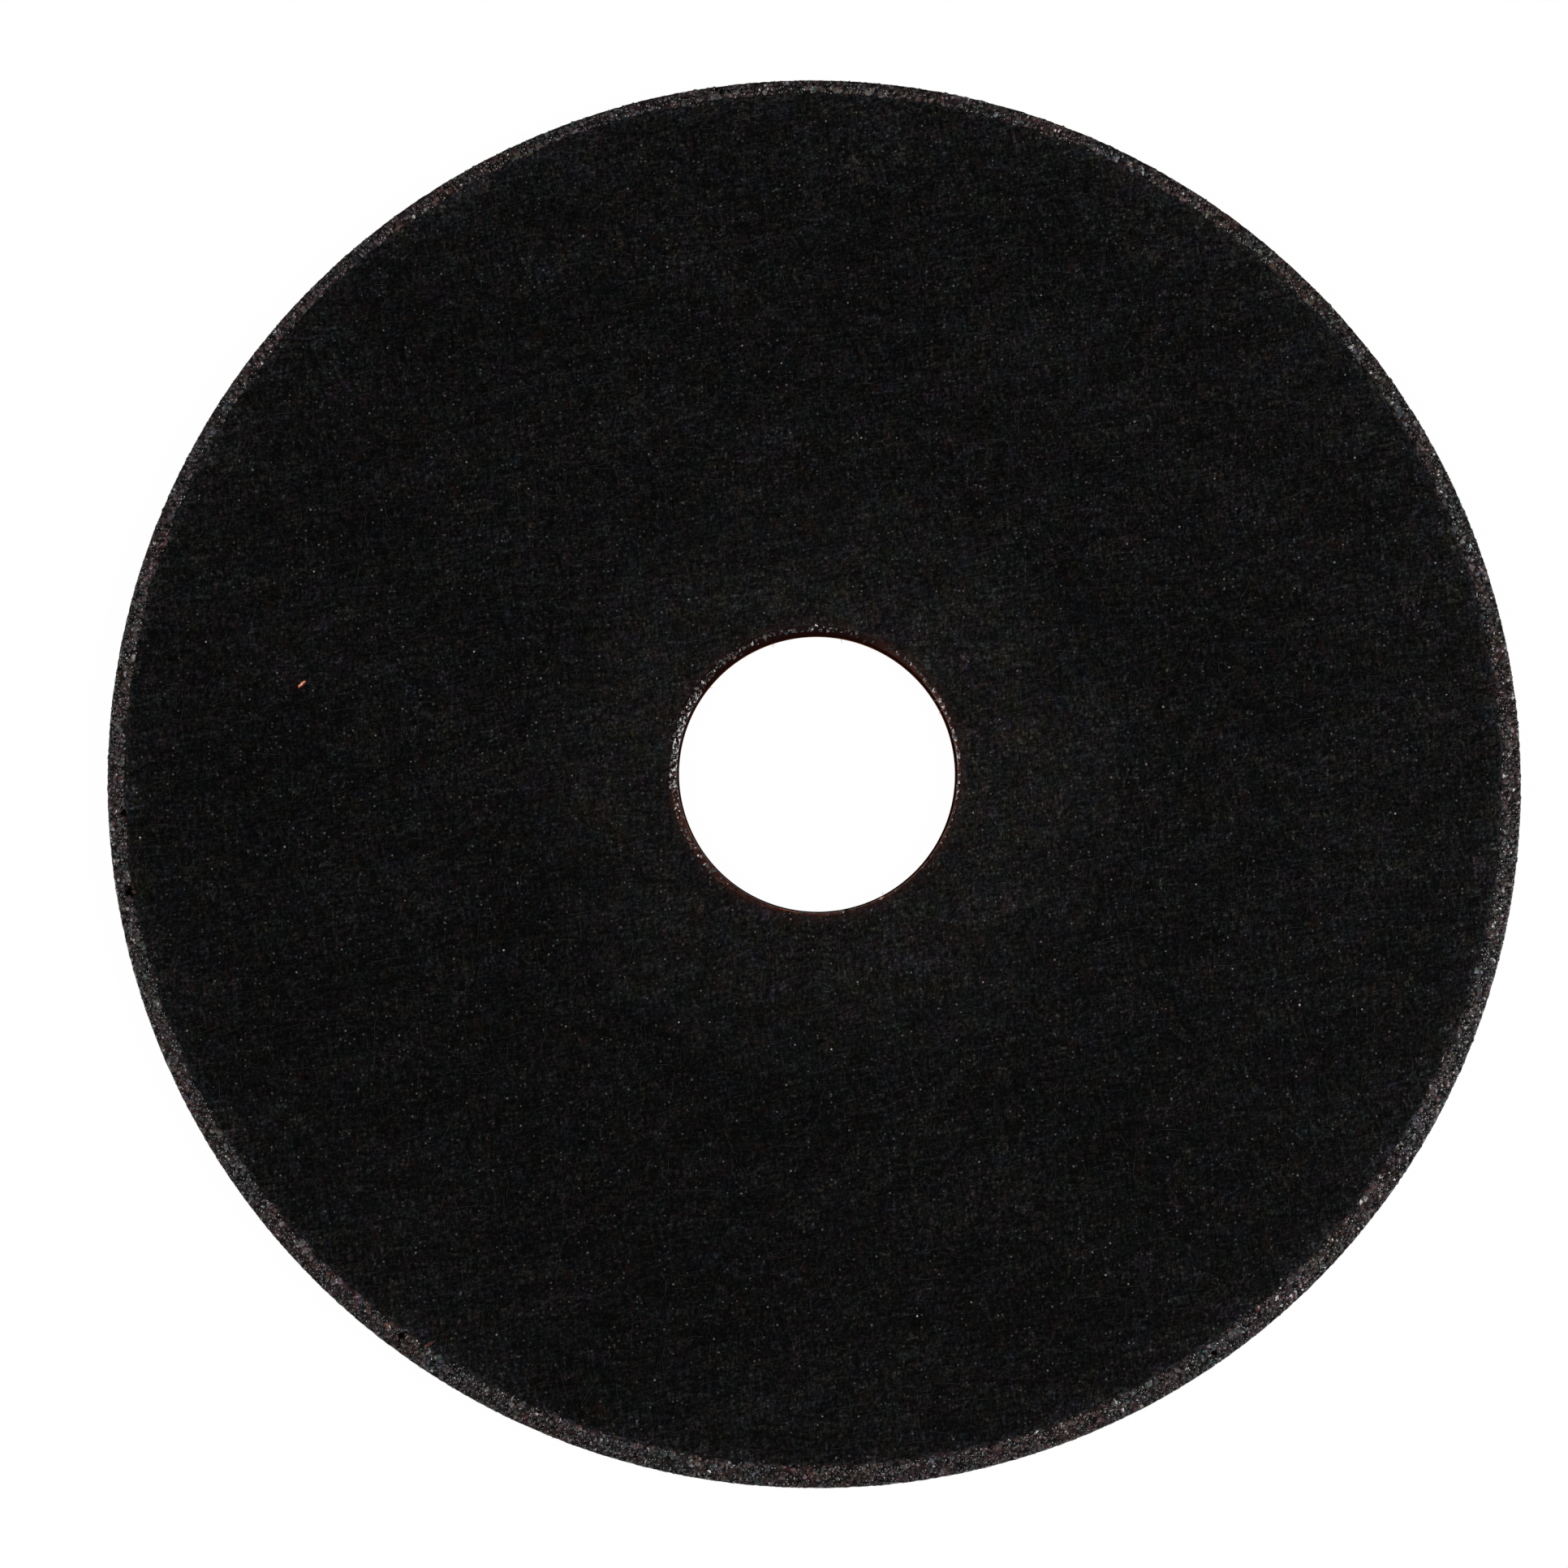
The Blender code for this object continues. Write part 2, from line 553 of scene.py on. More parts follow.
def grit_tree():
    """Angular grains set in the resin wherever the named weight says that it is bare."""
    defaults = {
        "Zone": "upper_rim",
        "Grain Size": 0.58 * MM,
        "Spacing": 0.32 * MM,
        "Depth": 0.1 * MM,
        "Sink": 0.1 * MM,
        "Angularity": 0.5,
        "Seed": 7,
    }
    graph, given = open_tree("grit_scatter", defaults)
    seed, size = given["Seed"], given["Grain Size"]
    down = graph.math("ADD", given["Depth"], random_number(graph, 0.0, given["Sink"], seed, 1))
    seated = scattered(graph, given, 60.0e6, given["Zone"], graph.times(down, -1.0))
    grain = graph.first("GeometryNodeMeshIcoSphere", Radius=0.5, Subdivisions=1)
    turn = random_vector(graph, 0.0, math.tau, seed, 2)
    growth = graph.ramp(weight_named(graph, "coarse"), 0.0, 1.0, 0.85, 1.35)
    stretch = graph.scaled(random_vector(graph, 0.50, 1.30, seed, 3), size)
    tone = random_number(graph, 0.0, 1.0, seed, 4)
    grains = copied(graph, seated, grain, turn, graph.scaled(stretch, growth), tone)
    stray = graph.times(size, graph.times(given["Angularity"], 2.0))
    jitter = noise_offset(graph, graph.times(size, 0.4), stray, seed)
    held = keep_inside(graph, moved(graph, grains, jitter), WHEEL_RADIUS)
    worn = graph.math("LESS_THAN", weight_named(graph, "tone"), 0.55)
    smooth = graph.first("GeometryNodeSetShadeSmooth", Geometry=held, Selection=worn)
    return close_tree(graph, given, smooth)


def relief_tree():
    """Swells and dips a surface where the named weight allows it."""
    defaults = {
        "Weight": "bare",
        "Lump Size": 0.35 * MM,
        "Depth": 0.1 * MM,
        "Way": (1.0, 1.0, 1.0),
        "Pattern": 3.0,
    }
    graph, given = open_tree("relief", defaults)
    free = noise_offset(graph, given["Lump Size"], given["Depth"], given["Pattern"])
    offset = graph.vector("MULTIPLY", free, given["Way"])
    offset = graph.scaled(offset, weight_named(graph, given["Weight"]))
    held = keep_inside(graph, moved(graph, given["Geometry"], offset), WHEEL_RADIUS)
    real = graph.first("GeometryNodeRealizeInstances", Geometry=held)
    return close_tree(graph, given, real)


def fibre_tree():
    """Short fibres that lie on a facing, most of them along the sheet's lay."""
    defaults = {
        "Length": 1.5 * MM,
        "Width": 0.035 * MM,
        "Spacing": 1.0 * MM,
        "Lay": 0.2,
        "Lift": 0.0,
        "Seed": 3,
    }
    graph, given = open_tree("fibre_scatter", defaults)
    seed, lay = given["Seed"], given["Lay"]
    lifted = scattered(graph, given, 4.0e6, "open_side", given["Lift"])
    line = graph.first(
        "GeometryNodeMeshLine",
        {"mode": "OFFSET", "count_mode": "TOTAL"},
        Count=5,
        Start_Location=(-0.5, 0.0, 0.0),
        Offset=(0.25, 0.0, 0.0),
    )
    along = graph.math("ADD", lay, random_number(graph, -0.30, 0.30, seed, 1))
    across = graph.math("ADD", lay, random_number(graph, 0.8, 2.0, seed, 2))
    chosen = graph.math("GREATER_THAN", random_number(graph, 0.0, 1.0, seed, 3), 0.62)
    others = graph.math("SUBTRACT", 1.0, chosen)
    swing = graph.math("ADD", graph.times(across, chosen), graph.times(along, others))
    turn = graph.first("ShaderNodeCombineXYZ", Z=swing)
    length = graph.times(given["Length"], random_number(graph, 0.3, 1.5, seed, 4))
    scale = graph.first("ShaderNodeCombineXYZ", X=length, Y=length, Z=length)
    tone = random_number(graph, 0.0, 1.0, seed, 5)
    fibres = copied(graph, lifted, line, turn, scale, tone)
    level = graph.vector("MULTIPLY", noise_offset(graph, 1.1 * MM, 1.0 * MM, 5.0), LEVEL)
    curve = graph.first("GeometryNodeMeshToCurve", Mesh=moved(graph, fibres, level))
    girth = graph.times(given["Width"], 0.5)
    profile = graph.first(
        "GeometryNodeCurvePrimitiveCircle", {"mode": "RADIUS"}, Resolution=3, Radius=girth
    )
    tube = graph.first(
        "GeometryNodeCurveToMesh", Curve=curve, Profile_Curve=profile, Fill_Caps=True
    )
    return close_tree(graph, given, keep_inside(graph, tube, FACING_RADIUS))


def grow(piece, tree, material, **values):
    """Runs a tree on a piece and keeps the result as a plain mesh.

    The values go to the tree's inputs; an underscore stands for a space in an input's name.
    """
    modifier = piece.modifiers.new(tree.name, "NODES")
    modifier.node_group = tree
    values["Material"] = material
    sockets = {item.name: item for item in tree.interface.items_tree if item.in_out == "INPUT"}
    for name, value in values.items():
        modifier[sockets[name.replace("_", " ")].identifier] = value
    bpy.context.view_layer.update()
    evaluated = piece.evaluated_get(bpy.context.evaluated_depsgraph_get())
    mesh = bpy.data.meshes.new_from_object(evaluated)
    piece.modifiers.remove(modifier)
    old = piece.data
    piece.data = mesh
    mesh.name = piece.name
    mesh.materials.clear()
    mesh.materials.append(material)
    bpy.data.meshes.remove(old)
    return piece


# Meshes that go round the wheel


def linked(name, data):
    """A new object in the scene."""
    thing = bpy.data.objects.new(name, data)
    bpy.context.scene.collection.objects.link(thing)
    return thing


def directions(steps):
    return np.arange(steps) * (math.tau / steps)


def circle(radius, height, centre, steps):
    """Points on a ring; radius and height are one number or one for each step."""
    angle = directions(steps)
    points = np.empty((steps, 3))
    points[:, 0] = centre[0] + radius * np.cos(angle)
    points[:, 1] = centre[1] + radius * np.sin(angle)
    points[:, 2] = height
    return points


def closed_band(name, rings):
    """A closed body from rings that follow its section; a ring may hold 4 times fewer points."""
    starts = np.cumsum([0] + [len(ring) for ring in rings])
    faces = []
    for number, ring in enumerate(rings):
        ahead = (number + 1) % len(rings)
        here, there = int(starts[number]), int(starts[ahead])
        count, other = len(ring), len(rings[ahead])
        if count == other:
            faces += [
                (here + i, here + (i + 1) % count, there + (i + 1) % count, there + i)
                for i in range(count)
            ]
        elif count > other:
            faces += fan(here, count, there, other, False)
        else:
            faces += fan(there, other, here, count, True)
    mesh = bpy.data.meshes.new(name)
    mesh.from_pydata(np.concatenate(rings).tolist(), [], faces)
    mesh.update()
    mesh.shade_smooth()
    return linked(name, mesh)


def fan(fine, fine_count, coarse, coarse_count, turned):
    """Triangles between a fine ring and a coarse one."""
    share = fine_count // coarse_count
    faces = []
    for i in range(coarse_count):
        near = coarse + i
        following = coarse + (i + 1) % coarse_count
        for step in range(share):
            first = fine + i * share + step
            second = fine + (i * share + step + 1) % fine_count
            faces.append((first, second, near))
        faces.append((fine + ((i + 1) * share) % fine_count, following, near))
    return [face[::-1] for face in faces] if turned else faces


def wandering(steps, seed, slow, quick):
    """How far a cut edge wanders round the wheel: slow waves and quick ragged ones."""
    rng = np.random.default_rng(seed)
    angle = directions(steps)
    wave = np.zeros(steps)
    for turns in range(4, 130):
        strength = slow / turns**0.5 if turns < 50 else 0.5 * quick
        wave += 0.5 * strength * rng.normal() * np.cos(turns * angle + rng.uniform(0, math.tau))
    ragged = rng.normal(size=steps)
    ragged = (ragged + np.roll(ragged, 1) + np.roll(ragged, 2)) / 3
    return wave + quick * ragged


def quarter(radius, height, across, down, start):
    """(radius, height) pairs on a quarter of a worn corner's round about its middle."""
    angles = math.radians(start) + np.linspace(0, math.pi / 2, 5)
    return [(radius + across * math.cos(a), height + down * math.sin(a)) for a in angles]


def span(first, last, step):
    """Evenly spaced values from first to last, about a step apart, without the last."""
    count = max(1, round(abs(last - first) / step))
    return list(np.linspace(first, last, count, endpoint=False))


def store(mesh, name, values):
    layer = mesh.attributes.new(name, "FLOAT", "POINT")
    layer.data.foreach_set("value", np.asarray(values, dtype=np.float32))


def vertices_of(mesh):
    points = np.empty(len(mesh.vertices) * 3)
    mesh.vertices.foreach_get("co", points)
    return points.reshape(-1, 3)


def facing_edges(upper):
    """The cut edge of a facing's outside and of its hole, as distances from their middles."""
    settings = bpy.context.scene.wheel_facing
    seed = UPPER_EDGE_SEED if upper else LOWER_EDGE_SEED
    outer = FACING_RADIUS + wandering(SHEET_STEPS, seed, settings.edge_wave, 0.03 * MM)
    if upper:
        angle = directions(SHEET_STEPS)
        more, right, away = UPPER_EDGE_DRIFT
        outer += more + right * np.cos(angle) + away * np.sin(angle)
    hole = FACING_HOLE + 0.01 * MM + wandering(
        SHEET_HOLE_STEPS, seed + 1, settings.edge_wave * 0.6, 0.02 * MM
    )
    return outer, hole


def beyond(points, centre, edge):
    """How far points lie outside an edge that goes round a centre."""
    across = points[:, :2] - np.array(centre)
    angle = np.arctan2(across[:, 1], across[:, 0]) % math.tau
    place = (angle / math.tau * len(edge)).astype(int) % len(edge)
    return np.hypot(across[:, 0], across[:, 1]) - edge[place]


def mouth_slope(grit, count, lift=0.0):
    """(radius, height) pairs up the bore's worn upper corner, from the wall outwards."""
    across, down = MOUTH_SLOPE
    top = THICKNESS - grit.resin_depth
    return [
        (MOUTH_RADIUS + across * share, top - down * (1 - share) ** 1.2 + lift)
        for share in np.linspace(0.05, 1.0, count)
    ]


def resin_rings(grit):
    """The resin body's section as rings, in order round it."""
    depth = grit.resin_depth
    edge = WHEEL_RADIUS - 0.02 * MM
    corner = 0.12 * MM
    lip = 0.10 * MM
    inner = WHEEL_RADIUS - 2.6 * MM
    outer = BORE_RADIUS + 1.5 * MM
    fall_width = 1.2 * MM
    fall_start = WHEEL_RADIUS - fall_width

    def drop(radius):
        """How far below the face the bare rim lies, more towards the wheel's edge."""
        return depth + grit.edge_fall * min(max((radius - fall_start) / fall_width, 0.0), 1.0)

    low = drop(edge - corner)
    high = THICKNESS - low - corner
    rim_path = [(r, drop(r)) for r in span(inner, edge - corner, RIM_GAP)]
    rim_path += quarter(edge - corner, low + corner, corner, corner, -90)
    rim_path += [(edge, z) for z in span(low + corner, high, RIM_GAP)[1:]]
    rim_path += quarter(edge - corner, high, corner, corner, 0)
    rim_path += [(r, THICKNESS - drop(r)) for r in span(edge - corner, inner, RIM_GAP)[1:]]
    across, down = MOUTH_SLOPE
    top = THICKNESS - depth
    bore_path = [(r, top) for r in span(outer, MOUTH_RADIUS + across, BORE_GAP)]
    bore_path += mouth_slope(grit, 7)[::-1]
    wall = span(0.0, 1.0, 0.12)[1:]
    bore_path += [
        (MOUTH_RADIUS + (LIP_RADIUS - MOUTH_RADIUS) * w, (top - down) * (1 - w) + 2 * lip * w)
        for w in wall
    ]
    bore_path += quarter(LIP_RADIUS + lip, 2 * lip, lip, lip, 180)
    bore_path += [(r, depth) for r in span(LIP_RADIUS + 2.4 * lip, outer, BORE_GAP)]
    rings = [circle(r, z, ON_AXIS, RIM_STEPS) for r, z in rim_path]
    rings += [circle(r, z, ON_AXIS, BORE_STEPS) for r, z in bore_path]
    return rings


def nearness_to_pits(points):
    """For each pit, how far points lie from its middle as a share of its radius."""
    return [apart(points, x * MM, y * MM) / (radius * MM) for x, y, radius in PITS]


def sink_pits(piece):
    """Hollows the resin where grains broke out of the upper rim."""
    points = vertices_of(piece.data)
    up = points[:, 2] > THICKNESS / 2
    for near in nearness_to_pits(points):
        points[:, 2] -= PIT_DEPTH * np.clip(1.3 - near, 0, 1) * up
    piece.data.vertices.foreach_set("co", points.ravel())


def face_places(mesh):
    """The first corner of each face."""
    first = np.empty(len(mesh.polygons), dtype=np.int32)
    mesh.polygons.foreach_get("loop_start", first)
    corners = np.empty(len(mesh.loops), dtype=np.int32)
    mesh.loops.foreach_get("vertex_index", corners)
    return vertices_of(mesh)[corners[first]]


def coat(piece, material, chosen):
    """Gives the chosen faces a second material."""
    piece.data.materials.append(material)
    piece.data.polygons.foreach_set("material_index", chosen.astype(np.int32))


def rim_faces(mesh):
    """Which faces lie at the wheel's rim, outside its pits."""
    places = face_places(mesh)
    chosen = apart(places) > WHEEL_RADIUS - 2.4 * MM
    for near in nearness_to_pits(places):
        chosen &= near > 1.1
    return chosen


def bare_faces(mesh):
    """Which faces of the glaze lie low on the +Y side, where it ran off and left matt resin."""
    places = face_places(mesh)
    angle = np.arctan2(places[:, 1], places[:, 0])
    waver = 0.04 * MM * np.sin(17 * angle) + 0.03 * MM * np.sin(41 * angle + 1.0)
    sideways = np.clip((9.0 * MM - places[:, 1]) / (3.0 * MM), 0, 1)
    return places[:, 2] < 1.385 * MM + waver - 0.25 * MM * sideways


def weigh_zones(piece):
    """Writes the weights of the bare places on the resin body."""
    mesh = piece.data
    points = vertices_of(mesh)
    reach = apart(points)
    up = points[:, 2] > THICKNESS / 2
    soft = 0.15 * MM
    zones = {}
    coarse = np.zeros(len(points))
    for side, rim, bore in ((True, "upper_rim", "bore_mouth"), (False, "lower_rim", "lower_bore")):
        centre = UPPER_CENTRE if side else LOWER_CENTRE
        hole_centre = UPPER_HOLE_CENTRE if side else LOWER_HOLE_CENTRE
        outer, hole = facing_edges(side)
        outside = beyond(points, centre, outer)
        inside = -beyond(points, hole_centre, hole)
        here = up == side
        at_edge = reach > WHEEL_RADIUS - 0.08 * MM
        far = reach > WHEEL_RADIUS / 2
        zones[rim] = np.clip(outside / soft - 0.4, 0, 1) * (here & far & ~at_edge)
        clear = reach > (MOUTH_RADIUS + 0.2 * MM if side else LIP_RADIUS + 0.3 * MM)
        zones[bore] = np.clip(inside / soft + 0.5, 0, 1) * (here & clear & ~far)
        coarse = np.maximum(coarse, np.clip(1 - outside / (0.9 * MM), 0, 1) * zones[rim])
    zones["wheel_edge"] = 1.0 * (reach > WHEEL_RADIUS - 0.10 * MM)
    pit = np.zeros(len(points))
    for near in nearness_to_pits(points):
        zones["upper_rim"] *= near > 1
        pit = np.maximum(pit, np.clip(1.6 - near, 0, 1) * up)
    store(mesh, "pit", pit)
    for name, weight in zones.items():
        store(mesh, name, weight)
    store(mesh, "coarse", coarse)
    store(mesh, "bare", np.maximum.reduce([zones[name] for name in ZONES]))


# Materials


class Surface(Graph):
    """The nodes of a new material, laid out on the object's own coordinates."""

    def __init__(self, name):
        self.material = bpy.data.materials.new(name)
        self.material.use_nodes = True
        super().__init__(self.material.node_tree)
        self.shader = self.tree.nodes["Principled BSDF"]
        self.where = self.add("ShaderNodeTexCoord").outputs["Object"]
        self.away = self.vector("LENGTH", self.where)
        self.height = self.add("ShaderNodeSeparateXYZ", inputs={0: self.where}).outputs["Z"]

    def noise(self, size, detail=2.0, roughness=0.5, where=None):
        inputs = {
            "Vector": self.where if where is None else where,
            "Scale": 1.0 / size,
            "Detail": detail,
            "Roughness": roughness,
        }
        return self.add("ShaderNodeTexNoise", inputs=inputs).outputs

    def cloud(self, *shape):
        return self.noise(*shape)["Fac"]

    def cells(self, size, **settings):
        inputs = {"Vector": self.where, "Scale": 1.0 / size}
        return self.add("ShaderNodeTexVoronoi", settings, inputs).outputs

    def channels(self, colour):
        return self.add("ShaderNodeSeparateColor", inputs={0: colour}).outputs

    def weight(self, name):
        return self.add("ShaderNodeAttribute", {"attribute_name": name}).outputs["Fac"]

    def bump(self, height, distance, strength, under=None):
        inputs = {"Height": height, "Distance": distance, "Strength": strength}
        if under is not None:
            inputs["Normal"] = under
        return self.add("ShaderNodeBump", inputs=inputs).outputs["Normal"]

    def dyed(self, size, spread):
        """A factor near 1 on each of red, green and blue that changes from place to place."""
        centred = self.vector("SUBTRACT", self.noise(size, 4.0)["Color"], NOISE_MIDDLE)
        return self.vector("ADD", WHITE, self.vector("MULTIPLY", centred, spread))

    def streaks(self, where, angle, along, across):
        """Noise drawn out one way like matted fibres, from -0.5 to 0.5 about nought."""
        settings = {"rotation_type": "Z_AXIS"}
        run = self.first("ShaderNodeVectorRotate", settings, Vector=where, Angle=-angle)
        drawn = self.vector("MULTIPLY", run, (1.0 / along, 1.0 / across, 1.0 / across))
        return self.math("SUBTRACT", self.noise(1.0, 2.0, 0.6, drawn)["Fac"], 0.5)

    def finish(self, colour, roughness, specular, normal=None):
        """Joins what was made to the shader and hands out the material."""
        self.feed(self.shader.inputs["Base Color"], colour)
        self.feed(self.shader.inputs["Roughness"], roughness)
        self.shader.inputs["Specular IOR Level"].default_value = specular
        if normal is not None:
            self.feed(self.shader.inputs["Normal"], normal)
        return self.material


def rim_tint(look, size):
    """Red and grey that change quickly over the given size and slowly round the rim."""
    quick = look.dyed(size, (2.7, 0.6, 1.8))
    return look.vector("MULTIPLY", quick, look.dyed(5.0 * MM, (1.5, 0.1, 0.7)))


def edge_shade(look):
    """Darker towards the wheel's outline."""
    return look.ramp(look.away, WHEEL_RADIUS - 0.26 * MM, WHEEL_RADIUS - 0.06 * MM, 1.0, 0.5)


def grain_material(colours):
    """Brown-grey grains with a glossy coat of resin, each with its own tone, painted paler near
    the sheets' edges and painted darker towards the outline.
    """
    look = Surface("grit_grain")
    stops = (
        (0.0, (0.0045, 0.0038, 0.0038)),
        (0.17, colours.grain_dark),
        (0.45, colours.grain),
        (0.90, colours.grain_pale),
        (0.935, (0.046, 0.022, 0.017)),
        (0.95, colours.grain_pale),
        (1.0, (0.138, 0.125, 0.129)),
    )
    cloud = look.cloud(0.22 * MM, 3.0)
    shade = look.ramp(cloud, 0.3, 0.7, 0.50, 1.30)
    # Painted highlight: grains near the sheets' edges, where the coarse weight is high, are
    # painted paler for the brighter glints there
    lift = look.math("ADD", shade, look.times(look.weight("coarse"), 0.25))
    colour = look.palette(look.weight("tone"), stops)
    colour = look.vector("MULTIPLY", colour, rim_tint(look, 0.5 * MM))
    colour = look.scaled(colour, look.times(lift, edge_shade(look)))
    warm = look.ramp(look.cloud(5.0 * MM), 0.5, 0.75, 0.0, 0.22)
    colour = look.blend(warm, colour, colours.wall)
    roughness = look.ramp(cloud, 0.35, 0.65, 0.15, 0.38)
    chips = look.bump(look.cells(0.22 * MM)["Distance"], 0.03 * MM, 0.55)
    return look.finish(colour, roughness, 0.45, chips)


def rim_resin_material(colours):
    """Glossy brown-grey resin that lies in small domes between the grains of the bare rim, with
    painted shade in the crevices between the domes and in its pores.
    """
    look = Surface("rim_resin")
    away = look.cells(0.40 * MM, feature="SMOOTH_F1")["Distance"]
    cloud = look.cloud(0.5 * MM, 3.0)
    holes = look.cells(0.72 * MM)
    middle = holes["Distance"]
    some = look.ramp(look.channels(holes["Color"])[0], 0.25, 0.35)
    pore = look.times(look.ramp(middle, 0.34, 0.22), some)
    lip = look.times(look.ramp(middle, 0.58, 0.40), some)
    # Painted shade: darker in the crevices between the domes and lighter on their tops
    shade = look.ramp(away, 0.20, 0.62, 1.3, 0.3)
    uneven = look.ramp(cloud, 0.3, 0.7, 0.6, 1.4)
    colour = look.vector("MULTIPLY", tuple(colours.rim_resin), rim_tint(look, 0.6 * MM))
    colour = look.scaled(colour, look.times(shade, uneven, edge_shade(look)))
    # Painted shade: the pores, hollow only in the bump, are painted near-black
    colour = look.blend(pore, colour, PAINTED_PORE_SHADE)
    roughness = look.ramp(cloud, 0.35, 0.65, 0.16, 0.38)
    domes = look.total((away, -1.0), (lip, 0.6), (pore, -1.5))
    return look.finish(colour, roughness, 0.45, look.bump(domes, 0.16 * MM, 0.8))


def resin_material(colours):
    """Dark red-brown resin, matt; thin at the bore's lower edge, with an orange glow of light
    through it painted on; browned and painted lighter on the bore's upper corner towards the lower
    right; painted dark in the pits.
    """
    look = Surface("grit_resin")
    at_bore = look.ramp(look.away, BORE_RADIUS + 0.9 * MM, BORE_RADIUS + 0.4 * MM)
    lump = look.cloud(0.3 * MM, 3.0)
    warm = look.cloud(2.5 * MM)
    down = look.times(look.ramp(look.height, 1.42 * MM, 1.15 * MM), at_bore)
    low = look.ramp(look.height, 0.55 * MM, 0.10 * MM)
    thin = look.times(look.ramp(lump, 0.3, 0.6, 0.3), look.ramp(warm, 0.40, 0.58, 0.35))
    colour = look.blend(look.ramp(warm, 0.45, 0.7, 0.0, 0.25), colours.resin, colours.wall)
    colour = look.blend(down, colour, colours.wall)
    # Painted light: in patches low on the bore's wall, an orange glow of light through the thin
    # resin
    colour = look.blend(look.times(low, at_bore, thin), colour, colours.backlit_resin_glow)
    # Browning and painted light on the bore's upper corner, most at the lower right
    colour = look.blend(browning_and_painted_light(look, at_bore), colour, colours.bore_brown_and_painted_light)
    # Painted shade: the pits where grains broke out are painted near-black
    colour = look.blend(look.weight("pit"), colour, PAINTED_PIT_SHADE)
    roughness = look.ramp(lump, 0.35, 0.7, 0.45, 0.7)
    return look.finish(colour, roughness, 0.0, look.bump(look.cloud(0.12 * MM), 0.03 * MM, 0.6))


def browning_and_painted_light(look, amount):
    """How browned the bore's upper corner is and how much painted light lightens it: most at the
    lower right, nowhere down the wall.
    """
    right = look.vector("DOT_PRODUCT", look.where, (0.906, -0.423, 0.0))
    left = look.vector("DOT_PRODUCT", look.where, (-0.707, -0.707, 0.0))
    side = look.math(
        "MAXIMUM",
        look.ramp(right, -4.0 * MM, 10.0 * MM),
        look.ramp(left, 8.0 * MM, 11.0 * MM, 0.0, 0.6),
    )
    high = look.ramp(look.height, 1.05 * MM, 1.20 * MM)
    patchy = look.ramp(look.cloud(0.5 * MM, 3.0), 0.3, 0.65, 0.25, 1.0)
    return look.times(side, high, patchy, amount)


def glaze_material(colours):
    """Glossy dark maroon resin round the bore, browned and painted lighter towards the lower
    right.
    """
    look = Surface("bore_glaze")
    cloud = look.cloud(0.3 * MM, 3.0)
    colour = look.blend(look.ramp(cloud, 0.3, 0.7), colours.wall, GLAZE_DARK)
    colour = look.blend(browning_and_painted_light(look, 1.0), colour, colours.bore_brown_and_painted_light)
    roughness = look.ramp(cloud, 0.35, 0.65, 0.08, 0.22)
    return look.finish(colour, roughness, 0.5, look.bump(look.cloud(0.16 * MM), 0.03 * MM, 0.6))


def flake_material(colours):
    """Flakes and hairs of bare resin, from dark red to pale orange by their tone; the palest pink
    and grey tones are partly painted glints.
    """
    look = Surface("resin_flake")
    stops = (
        (0.0, colours.wall),
        (0.4, (0.090, 0.038, 0.030)),
        (0.62, (0.40, 0.062, 0.014)),
        (0.84, (0.38, 0.23, 0.19)),
        (0.92, (0.85, 0.55, 0.38)),
        (1.0, (0.36, 0.34, 0.36)),
    )
    patchy = look.cloud(0.15 * MM)
    shade = look.ramp(patchy, 0.3, 0.7, 0.6, 1.2)
    colour = look.scaled(look.palette(look.weight("tone"), stops), shade)
    return look.finish(colour, look.ramp(patchy, 0.35, 0.65, 0.25, 0.5), 0.3)


